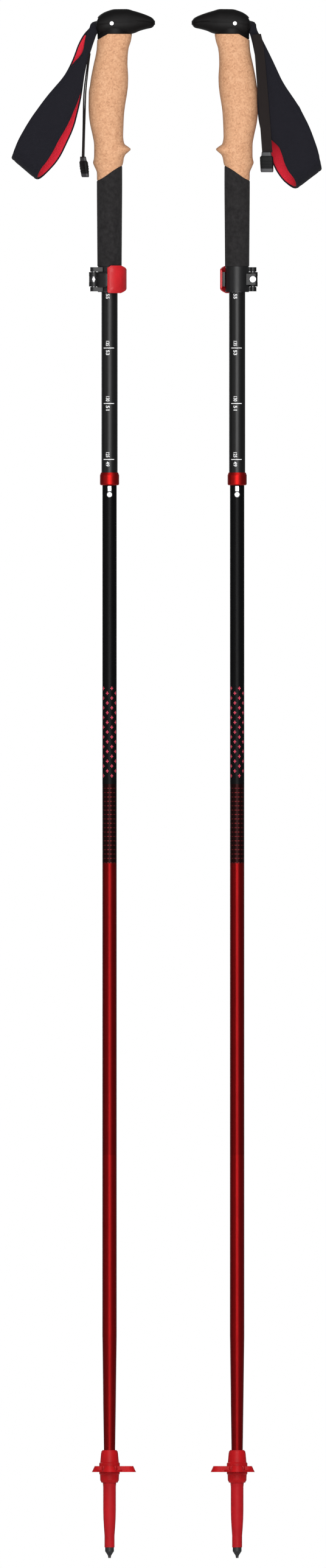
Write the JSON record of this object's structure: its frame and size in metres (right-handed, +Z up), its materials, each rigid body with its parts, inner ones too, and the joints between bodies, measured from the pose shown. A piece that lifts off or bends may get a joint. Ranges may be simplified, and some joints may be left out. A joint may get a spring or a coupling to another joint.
{
  "type": "trekking poles",
  "caption": "Pair of folding trekking poles with cork grips, padded wrist straps, lever length clamps, push-button folding shafts, small baskets and hard tips.",
  "frame": {"origin": "on the ground plane under the tips, midway between the outer edges of the two straps", "axes": "+Z up along both poles, +X from the left pole to the right pole, -Y towards the lock buttons"},
  "size_m": [0.2778, 0.039, 1.3949],
  "materials": {
    "cap_plastic": "moulded, fine texture",
    "steel": "turned",
    "webbing": "woven webbing",
    "strap_fabric": "padded knit with red lining",
    "tab_plastic": "moulded",
    "cork": "fine granulated cork",
    "foam": "closed-cell foam",
    "black_tube": "satin anodised",
    "red_tube": "gloss anodised",
    "red_anodised": "anodised",
    "clamp_plastic": "glass-filled nylon",
    "red_plastic": "moulded",
    "bush_plastic": "acetal",
    "cord": "coated braid",
    "cone_metal": "turned",
    "carbide": "blackened"
  },
  "bodies": {
    "left_grip_body": {"left_top_cap": "cap_plastic", "left_strap_pin": "steel", "left_strap_wedge": "cap_plastic", "left_strap_anchor": "webbing", "left_cork_grip": "cork", "left_foam_grip": "foam", "left_grip_tube": "black_tube", "left_clamp_band": "clamp_plastic", "left_lever_pin": "steel"},
    "left_strap_body": {"left_strap_loop": "strap_fabric", "left_strap_tail": "webbing", "left_pull_tab": "tab_plastic"},
    "left_lever_body": {"left_clamp_lever": "clamp_plastic", "left_lever_pad": "red_plastic"},
    "left_screw_body": {"left_tension_screw": "steel"},
    "left_upper_body": {"left_upper_tube": "black_tube", "left_guide_bush": "bush_plastic", "left_cord_anchor": "bush_plastic", "left_tension_cord": "cord", "left_release_collar": "red_anodised"},
    "left_black_body": {"left_black_tube": "black_tube", "left_button_spring": "steel"},
    "left_button_body": {"left_lock_button": "steel"},
    "left_middle_body": {"left_middle_tube": "red_tube", "left_middle_cone": "cone_metal"},
    "left_lower_body": {"left_lower_tube": "red_tube", "left_lower_cone": "cone_metal", "left_flex_tip": "red_plastic", "left_basket": "red_plastic", "left_carbide_tip": "carbide"},
    "right_grip_body": {"right_top_cap": "cap_plastic", "right_strap_pin": "steel", "right_strap_wedge": "cap_plastic", "right_strap_anchor": "webbing", "right_cork_grip": "cork", "right_foam_grip": "foam", "right_grip_tube": "black_tube", "right_clamp_band": "clamp_plastic", "right_lever_pin": "steel"},
    "right_strap_body": {"right_strap_loop": "strap_fabric", "right_strap_tail": "webbing", "right_pull_tab": "tab_plastic"},
    "right_lever_body": {"right_clamp_lever": "clamp_plastic", "right_lever_pad": "red_plastic"},
    "right_screw_body": {"right_tension_screw": "steel"},
    "right_upper_body": {"right_upper_tube": "black_tube", "right_guide_bush": "bush_plastic", "right_cord_anchor": "bush_plastic", "right_tension_cord": "cord", "right_release_collar": "red_anodised"},
    "right_black_body": {"right_black_tube": "black_tube", "right_button_spring": "steel"},
    "right_button_body": {"right_lock_button": "steel"},
    "right_middle_body": {"right_middle_tube": "red_tube", "right_middle_cone": "cone_metal"},
    "right_lower_body": {"right_lower_tube": "red_tube", "right_lower_cone": "cone_metal", "right_flex_tip": "red_plastic", "right_basket": "red_plastic", "right_carbide_tip": "carbide"}
  },
  "joints": [
    {"name": "left_strap_swing", "type": "hinge", "parent": "left_grip_body", "child": "left_strap_body", "pos_m": [-0.0661, 0, 1.3815], "axis": [0, 1, 0], "range_deg": [0, 45]},
    {"name": "left_lever_open", "type": "hinge", "parent": "left_grip_body", "child": "left_lever_body", "pos_m": [-0.0657, -0.0065, 1.1515], "axis": [0, 0, -1], "range_deg": [0, 110]},
    {"name": "left_screw_turn", "type": "hinge", "parent": "left_grip_body", "child": "left_screw_body", "pos_m": [-0.0657, 0, 1.1515], "axis": [0, 1, 0], "range_deg": [-180, 180]},
    {"name": "left_length_adjust", "type": "slide", "parent": "left_grip_body", "child": "left_upper_body", "axis": [0, 0, 1], "range_m": [0, 0.15]},
    {"name": "left_shaft_release", "type": "slide", "parent": "left_upper_body", "child": "left_black_body", "axis": [0, 0, 1], "range_m": [0, 0.09], "deforming": ["left_lock_button"]},
    {"name": "left_button_press", "type": "slide", "parent": "left_black_body", "child": "left_button_body", "axis": [0, 1, 0], "range_m": [0, 0.0024], "stiffness_N_per_m": 2000, "springref_m": -0.002, "deforming": ["left_button_spring"]},
    {"name": "left_upper_seam_pull", "type": "slide", "parent": "left_black_body", "child": "left_middle_body", "axis": [0, 0, -1], "range_m": [0, 0.055]},
    {"name": "left_lower_seam_pull", "type": "slide", "parent": "left_middle_body", "child": "left_lower_body", "axis": [0, 0, -1], "range_m": [0, 0.055]},
    {"name": "right_strap_swing", "type": "hinge", "parent": "right_grip_body", "child": "right_strap_body", "pos_m": [0.0781, 0, 1.3815], "axis": [0, -1, 0], "range_deg": [0, 45]},
    {"name": "right_lever_open", "type": "hinge", "parent": "right_grip_body", "child": "right_lever_body", "pos_m": [0.0777, 0.0065, 1.1515], "axis": [0, 0, -1], "range_deg": [0, 110]},
    {"name": "right_screw_turn", "type": "hinge", "parent": "right_grip_body", "child": "right_screw_body", "pos_m": [0.0777, 0, 1.1515], "axis": [0, -1, 0], "range_deg": [-180, 180]},
    {"name": "right_length_adjust", "type": "slide", "parent": "right_grip_body", "child": "right_upper_body", "axis": [0, 0, 1], "range_m": [0, 0.15]},
    {"name": "right_shaft_release", "type": "slide", "parent": "right_upper_body", "child": "right_black_body", "axis": [0, 0, 1], "range_m": [0, 0.09], "deforming": ["right_lock_button"]},
    {"name": "right_button_press", "type": "slide", "parent": "right_black_body", "child": "right_button_body", "axis": [0, 1, 0], "range_m": [0, 0.0024], "stiffness_N_per_m": 2000, "springref_m": -0.002, "deforming": ["right_button_spring"]},
    {"name": "right_upper_seam_pull", "type": "slide", "parent": "right_black_body", "child": "right_middle_body", "axis": [0, 0, -1], "range_m": [0, 0.055]},
    {"name": "right_lower_seam_pull", "type": "slide", "parent": "right_middle_body", "child": "right_lower_body", "axis": [0, 0, -1], "range_m": [0, 0.055]},
    {"name": "pole_spacing", "type": "slide", "parent": "left_grip_body", "child": "right_grip_body", "axis": [1, 0, 0], "range_m": [-0.02, 0.01]}
  ]
}
